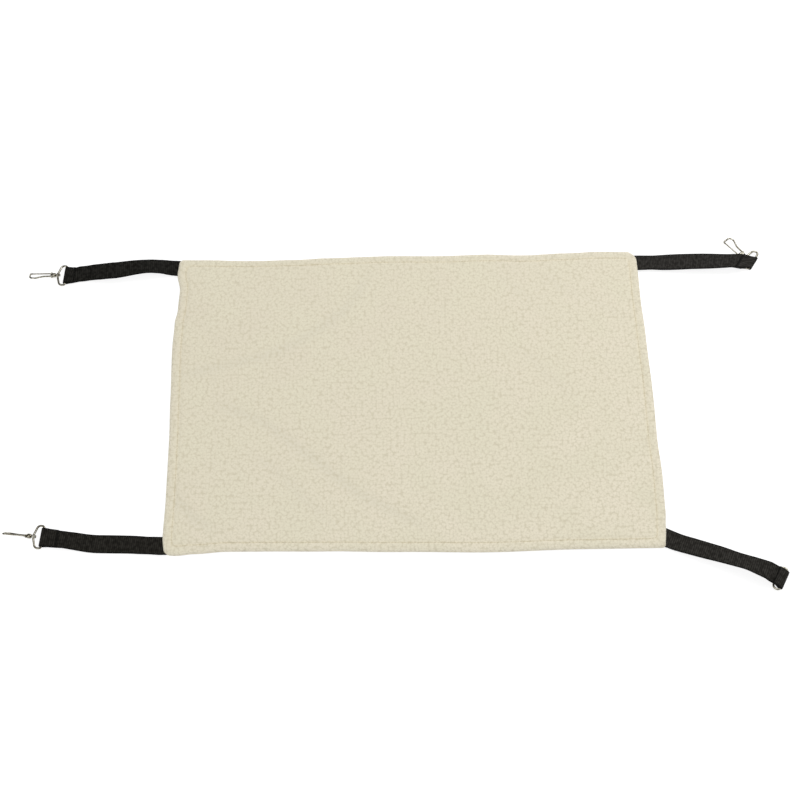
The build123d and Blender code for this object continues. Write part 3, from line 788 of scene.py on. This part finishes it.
def sewn_line(name, lines, thread, thickness=thread_thickness, length=stitch_length):
    """Stitches along open or closed lines of points, as one piece."""
    points, edges = [], []
    for line, closed in lines:
        first = len(points)
        points += [tuple(p) for p in line]
        edges += [(first + i, first + i + 1) for i in range(len(line) - 1)]
        edges += [(first + len(line) - 1, first)] if closed else []
    mesh = bpy.data.meshes.new(name)
    mesh.from_pydata(points, edges, [])
    piece = bpy.data.objects.new(name, mesh)
    bpy.context.scene.collection.objects.link(piece)
    return grown(piece, stitch_graph, stitch_sockets,
                 {"Length": length, "Thickness": thickness, "Material": thread})


def seam_plan():
    """The topstitch in plan: evenly spaced points, round its four corners."""
    corner_points = []
    for quarter, (side, end) in enumerate(((1, 1), (-1, 1), (-1, -1), (1, -1))):
        for turn in np.linspace(0, np.pi / 2, 6) + quarter * np.pi / 2:
            corner_points.append((
                side * (mat_length / 2 - seam_inset - seam_corner) + seam_corner * math.cos(turn),
                end * (mat_depth / 2 - seam_inset - seam_corner) + seam_corner * math.sin(turn)))
    around = np.array([*corner_points, corner_points[0]])
    along = np.concatenate([[0], np.cumsum(np.linalg.norm(np.diff(around, axis=0), axis=1))])
    even = np.linspace(0, along[-1], round(along[-1] / seam_step), endpoint=False)
    return mat_plan(*[np.interp(even, along, around[:, axis]) for axis in (0, 1)])


seam_x, seam_y = seam_plan()
seam_top = fleece_height(seam_x, seam_y, np.full_like(seam_x, seam_inset)) + thread_rise
seam_low = np.full_like(seam_x, bobbin_height)
seams = (("mat_topstitch", seam_top, "fleece"), ("mat_bobbin_stitch", seam_low, "backing"))
for name, height, slot in seams:
    stitches = sewn_line(name, [(np.stack([seam_x, seam_y, height], axis=1), True)], cream_thread)
    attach(stitches, "mat")


def on_fold(strap, line, out, share, hand):
    """A point on a strap's folded end: a share of the way from the bar, at its left or right."""
    fold, fold_left = turned_to(strap["fold_heading"])
    start, end = line[1 - upper_points], line[-1]
    normal = out[-upper_points // 2]
    along, height = start * (1 - share) + end * share + normal * (half_layer + box_rise)
    left = webbing_plan(strap, along, 0)[0] + hand * (strap["fold_width"] / 2 - box_margin)
    spot = fold * along + fold_left * left + np.array(strap["seam"])
    return (*spot * mm, height * mm)


for name, strap in straps.items():
    box = [on_fold(strap, *strap_lines[name], share, hand)
           for share, hand in ((0, -1), (0, 1), (box_end_share, 1), (box_end_share, -1))]
    stitches = sewn_line(f"box_stitch_{name}", [(box, True), (box[0::2], False), (box[1::2], False)],
                         black_thread, box_thread_thickness, box_stitch_length)
    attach(stitches, f"strap_{name}")

# The snap hooks: cast and bent of zinc alloy and wire, nickel-plated. The eye with
# its collar, the barrel that turns on a riveted post, the bow in one with it, and
# a sprung wire gate on a pin. Shapes are drawn once, post on X, in millimetres.

# For each: whether the eye lies folded back under its strap, how far it rises from
# the fold and has slid along its bar, and how far the hook leans in the collar's
# play and is turned about its post
hook_poses = {
    "back_left": {"under": False, "rise": 3.2, "slide": 0.0, "lean": 6.5, "roll": 29.0},
    "front_left": {"under": False, "rise": 4.75, "slide": 0.0, "lean": -0.6, "roll": -119.0},
    "back_right": {"under": True, "rise": 0.0, "slide": 2.34, "lean": -17.0, "roll": 180.0},
    "front_right": {"under": True, "rise": 0.0, "slide": 0.0, "lean": 0.0, "roll": 180.0},
}
sharp_angle = 38


def turned_about(axis, angle):
    """A turn by an angle in degrees."""
    return Matrix.Rotation(math.radians(angle), 4, axis)


def eye_place(strap, pose):
    """Where an eye lies: its bar on local Y, its collar on local +X."""
    ahead = turned_to(strap["heading"])[0] * strap["reach"]
    bar = Vector((*(np.array(strap["seam"]) + ahead), strap["bar_height"]))
    flat = turned_about("Z", strap["fold_heading"] + 180 * pose["under"])
    return Matrix.Translation(bar) @ flat @ turned_about("Y", -pose["rise"]) @ Matrix.Translation(
        (0, -pose["slide"], 0))


def hook_place(strap, pose):
    """Where a hook lies: its post on local X, through the middle of the collar."""
    lean = turned_about("Z", pose["lean"]) @ turned_about("X", pose["roll"])
    return eye_place(strap, pose) @ Matrix.Translation((collar_at, 0, 0)) @ lean


def placed(name, shells, place, body, node):
    """One plated piece from shells drawn about the post, set in its place on a body."""
    points, faces = [], []
    for shell_points, shell_faces in shells:
        faces += [tuple(i + len(points) for i in face) for face in shell_faces]
        points += [place @ Vector(p) * mm for p in shell_points]
    piece = new_piece(name, points, faces)
    piece.data.set_sharp_from_angle(angle=math.radians(sharp_angle))
    piece.data.materials.append(nickel)
    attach(piece, body)
    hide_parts(node)


def ring_faces(rings, sides, closed=False):
    """Faces of a tube of rings of points, facing outwards, its ends closed or joined."""
    faces = []
    for ring in range(rings if closed else rings - 1):
        a, b = ring * sides, (ring + 1) % rings * sides
        faces += [(a + i, a + (i + 1) % sides, b + (i + 1) % sides, b + i) for i in range(sides)]
    if not closed:
        faces += [tuple(range(sides))[::-1], tuple(range((rings - 1) * sides, rings * sides))]
    return faces


def turned(profile, closed=False):
    """A shell turned about X from (x, radius) points, which go towards +X on its outside."""
    sides = 36
    points = [(x, radius * math.cos(2 * math.pi * i / sides), radius * math.sin(2 * math.pi * i / sides))
              for x, radius in profile for i in range(sides)]
    return points, ring_faces(len(profile), sides, closed)


def bent(points, bends):
    """Middle line of a bent wire: straight runs joined by arcs of the given radii."""
    bend_run_share, step_angle = 0.47, 7
    points = [Vector((*p, 0)) for p in points]
    line = [points[0]]
    for before, at, after, bend in zip(points, points[1:], points[2:], bends):
        run_in, run_out = at - before, after - at
        half = run_in.angle(run_out) / 2
        bend = min(bend, bend_run_share * min(run_in.length, run_out.length) / math.tan(half))
        run_in.normalize()
        run_out.normalize()
        centre = at + (run_out - run_in).normalized() * bend / math.cos(half)
        start = at - run_in * bend * math.tan(half) - centre
        side = 1 if run_in.x * run_out.y - run_in.y * run_out.x > 0 else -1
        steps = max(3, math.ceil(math.degrees(2 * half) / step_angle))
        for step in range(steps + 1):
            turn = Matrix.Rotation(side * 2 * half * step / steps, 3, "Z")
            line.append(centre + turn @ start)
    return [*line, points[-1]]


def wire(line, radius, flat_above=math.inf, flat_below=-math.inf):
    """A round wire along a line in its own plane, halved at a height where it laps another."""
    sides, mitre_limit = 20, 0.5
    line = [Vector((p[0], p[1], 0)) for p in line]
    points = []
    for i, at in enumerate(line):
        before = (at - line[i - 1]).normalized() if i else (line[1] - at).normalized()
        after = (line[i + 1] - at).normalized() if i < len(line) - 1 else before
        ahead = (before + after).normalized()
        out = Vector((-ahead.y, ahead.x, 0)) / max(mitre_limit, ahead.dot(after))
        for step in range(sides):
            angle = 2 * math.pi * step / sides
            p = at + out * radius * math.cos(angle) + Vector((0, 0, radius * math.sin(angle)))
            p.y = max(min(p.y, flat_above), flat_below)
            points.append(p)
    return points, ring_faces(len(line), sides)


def cheek(low, high, foot, head, radius, bevel):
    """A plate with round ends from foot to head, its rims eased, between two heights."""
    steps = 10
    foot, head = Vector((*foot, 0)), Vector((*head, 0))
    start = math.atan2(head.y - foot.y, head.x - foot.x)
    outline = [(at, turn + math.pi * step / steps)
               for at, turn in ((head, start - math.pi / 2), (foot, start + math.pi / 2))
               for step in range(steps + 1)]
    rings = ((low, bevel), (low + bevel * 0.4, bevel * 0.3), (low + bevel, 0),
             (high - bevel, 0), (high - bevel * 0.4, bevel * 0.3), (high, bevel))
    points = [at + Vector((math.cos(a) * (radius - inset), math.sin(a) * (radius - inset), height))
              for height, inset in rings for at, a in outline]
    return points, ring_faces(len(rings), len(outline))


# The nickel's own tone, and darker patches that are painted dark reflections
plating_and_painted_reflections = (0.22, 0.20, 0.15, 1), (0.56, 0.54, 0.47, 1)
plating_relief = 0.00012


def plating_colour(graph):
    """Nickel plate, faintly gold, with darker patches that are painted dark reflections."""
    return graph.mix(graph.ease(graph.noise(graph.place(), 330.0, 3.0), 0.35, 0.7), *plating_and_painted_reflections)


def plating_roughness(graph):
    """Polished, with fine rubbed places."""
    return graph.ease(graph.noise(graph.place(), 700.0, 4.0), 0.3, 0.75, 0.14, 0.34)


def plating_waves(graph):
    """The slight waviness of a polished casting."""
    return graph.noise(graph.place(), 420.0, 1.0)


nickel = finish("nickel plate", plating_colour, plating_roughness, plating_waves, plating_relief,
                Metallic=1.0)

# Eye: closed wire loop with its bar in the strap's fold, and the collar
eye_wire, eye_half, shoulder_at, collar_at, collar_join = 1.1, 12.2, 6.19, 9.1, 2.05
eye_line = bent([(collar_at, collar_join), (shoulder_at, eye_half), (0, eye_half), (0, -eye_half),
                 (shoulder_at, -eye_half), (collar_at, -collar_join)], (4.5, 2.6, 2.6, 4.5))
collar = [(collar_at + x, r) for x, r in (
    (-1.0, 2.25), (-0.9, 2.42), (-0.7, 2.5), (0.7, 2.5), (0.9, 2.42), (1.0, 2.25), (1.0, 1.55),
    (0.9, 1.45), (-0.9, 1.45), (-1.0, 1.55))]
# Post: domed head inside the eye, shank fixed in the barrel
post = [(-2.7, 0.25), (-2.65, 0.9), (-2.5, 1.4), (-2.25, 1.7), (-2.0, 1.8), (-1.85, 1.75), (-1.8, 1.6),
        (-1.8, 1.0), (4.85, 1.0)]
# Barrel and bow, with the cross-piece whose slot takes the gate's root
barrel = [(1.8, 1.2), (1.8, 1.75), (1.9, 1.9), (2.35, 2.15), (2.95, 2.4), (3.41, 2.5), (3.65, 2.48),
          (3.77, 2.36), (3.9, 2.36), (4.02, 2.46), (4.75, 2.48), (5.8, 2.42), (6.25, 2.25), (6.4, 1.9),
          (6.4, 0.3)]
bow_wire, gate_wire = 0.9, 0.7
nose_drop, lap_gap = -3.7, 0.1
lap_start, lap_end = (27.3, nose_drop), (29.0, nose_drop)
bow_line = bent([(5.93, 2.08), (16.31, 2.65), (24.34, 6.3), (29.76, 4.98), (30.0, nose_drop), lap_start],
                (12, 6, 3.2, 2.0))
yoke_top, yoke_heart = (6.4, 2.08), (6.55, -0.1)
yoke_radius, yoke_bevel = 1.3, 0.2
yoke_half, slot_half = 1.5, 0.8
heart_overlap, heart_inset = 0.05, 0.02
# Gate: its root's boss turns on the pin, and its end laps the nose of the bow
pin = (7.0, -3.0)
gate_line = bent([pin, (9.8, nose_drop), (lap_start[0] - lap_gap, nose_drop)], (3.0,))
gate_lap = [(27.05, nose_drop), lap_end]
boss_half, boss_radius = 0.65, 1.15
pin_half, pin_radius = 1.62, 0.55
pin_bevel = 0.15
# A boss is a cheek whose ends lie this share of its radius apart
boss_run_share = 0.0175


def round_plate(half, radius):
    """A round boss about the gate's pin, or the pin itself."""
    return cheek(-half, half, pin, (pin[0] + radius * boss_run_share, pin[1]), radius, pin_bevel)


for name, pose in hook_poses.items():
    eye_at = eye_place(straps[name], pose)
    hook_at = hook_place(straps[name], pose)
    placed(f"swivel_eye_{name}", [wire(eye_line, eye_wire), turned(collar, closed=True)],
           eye_at, f"eye_{name}", f"eye_{name}")
    placed(f"swivel_post_{name}", [turned(post)], hook_at, f"hook_{name}", f"swivel_rivet_{name}")
    placed(f"snap_hook_{name}", [
        turned(barrel),
        wire(bow_line[:-1], bow_wire),
        wire([bow_line[-2], lap_end], bow_wire),
        wire([lap_end, lap_start], bow_wire, flat_above=nose_drop - lap_gap),
        cheek(slot_half, yoke_half, pin, yoke_top, yoke_radius, yoke_bevel),
        cheek(-yoke_half, -slot_half, pin, yoke_top, yoke_radius, yoke_bevel),
        cheek(-slot_half - heart_overlap, slot_half + heart_overlap, yoke_heart, yoke_top,
              yoke_radius - heart_inset, yoke_bevel),
    ], hook_at, f"hook_{name}", f"hook_{name}")
    placed(f"wire_gate_{name}", [
        wire(gate_line, gate_wire),
        wire(gate_lap, gate_wire, flat_below=nose_drop),
        round_plate(boss_half, boss_radius),
    ], hook_at, f"gate_{name}", f"gate_{name}")
    placed(f"gate_rivet_{name}", [round_plate(pin_half, pin_radius)],
           hook_at, f"hook_{name}", f"gate_pin_{name}")

# The studio: a plain white floor that keeps the object's soft shadow, a wide soft
# lamp above and a weaker one at the side, a pale surround, and the camera where
# the photograph was taken. Rays from the camera, mirrors and glass find it white.
floor_half = 6
floor_paint, floor_paint_seen, floor_glow = (0.85, 0.85, 0.85, 1), (0.42, 0.42, 0.42, 1), 0.80
white = (1, 1, 1, 1)


def seen_rays(graph):
    """Light Path's Is Camera Ray, Is Glossy Ray and Is Transmission Ray."""
    return [graph.node("ShaderNodeLightPath", output=at) for at in (0, 3, 6)]


corners = [(-floor_half, -floor_half, 0), (floor_half, -floor_half, 0), (floor_half, floor_half, 0),
           (-floor_half, floor_half, 0)]
floor = new_piece("floor", corners, [(0, 1, 2, 3)], smooth=False)
floor_material = finish("white floor", floor_paint, 1.0, Specular_IOR_Level=0.0)
floor_nodes = floor_material.node_tree.nodes
floor_graph = Graph(floor_material.node_tree)
camera_ray, glossy_ray, clear_ray = seen_rays(floor_graph)
seen = camera_ray.larger(glossy_ray).larger(clear_ray)
paint = floor_graph.mix(seen, floor_paint, floor_paint_seen)
glow = floor_graph.node("ShaderNodeEmission", None, {"Color": white, "Strength": seen * floor_glow})
floor_shader = floor_nodes["Principled BSDF"]
painted = Link(floor_graph, floor_shader.outputs["BSDF"])
both = floor_graph.node("ShaderNodeAddShader", None, {0: painted, 1: glow})
floor_graph.tree.links.new(paint.socket, floor_shader.inputs["Base Color"])
floor_graph.tree.links.new(both.socket, floor_nodes["Material Output"].inputs["Surface"])
floor.data.materials.append(floor_material)

world = bpy.data.worlds.new("studio")
bpy.context.scene.world = world
world.use_nodes = True
air = Graph(world.node_tree)
background = world.node_tree.nodes["Background"]
up = air.part(air.node("ShaderNodeTexCoord"), 2)
camera_ray, glossy_ray, clear_ray = seen_rays(air)
tone = air.mix(air.ease(up, -0.2, 0.75), (0.72, 0.72, 0.72, 1), (0.50, 0.50, 0.50, 1))
mirrored = air.mix(air.ease(up, 0.84, 0.96), (0.035, 0.034, 0.028, 1), (0.95, 0.95, 0.93, 1))
tone = air.mix(glossy_ray, tone, mirrored)
tone = air.mix(camera_ray.larger(clear_ray), tone, white)
world.node_tree.links.new(tone.socket, background.inputs["Color"])
background.inputs["Strength"].default_value = 1.0

lamps = {
    "key_lamp": {"spot": (0.9, 1.0, 1.9), "size": 1.5, "power": 26.0},
    "side_lamp": {"spot": (-1.0, -1.6, 1.3), "size": 1.2, "power": 10.0},
}
for name, lamp in lamps.items():
    light = bpy.data.lights.new(name, "AREA")
    light.shape = "SQUARE"
    light.size = lamp["size"]
    light.energy = lamp["power"]
    stand = bpy.data.objects.new(name, light)
    stand.location = lamp["spot"]
    stand.rotation_euler = (-Vector(lamp["spot"])).to_track_quat("-Z", "Y").to_euler()
    bpy.context.scene.collection.objects.link(stand)

# The camera's aim on the floor, its distance, and its lens in the photograph's pixels
aim, camera_distance = Vector((-0.0120, -0.0013, 0)), 1.697
elevation, azimuth = math.radians(61.33), math.radians(0.96)
sensor_width, photo_pixels, lens_pixels = 36.0, 800, 1623
view_line = Vector((math.cos(elevation) * math.sin(azimuth), math.cos(elevation) * math.cos(azimuth),
                    -math.sin(elevation)))
camera_data = bpy.data.cameras.new("camera")
camera_data.sensor_width = sensor_width
camera_data.lens = sensor_width * lens_pixels / photo_pixels
camera = bpy.data.objects.new("camera", camera_data)
camera.location = aim - view_line * camera_distance
camera.rotation_euler = view_line.to_track_quat("-Z", "Y").to_euler()
bpy.context.scene.collection.objects.link(camera)
bpy.context.scene.camera = camera
bpy.context.scene.view_settings.view_transform = "Standard"
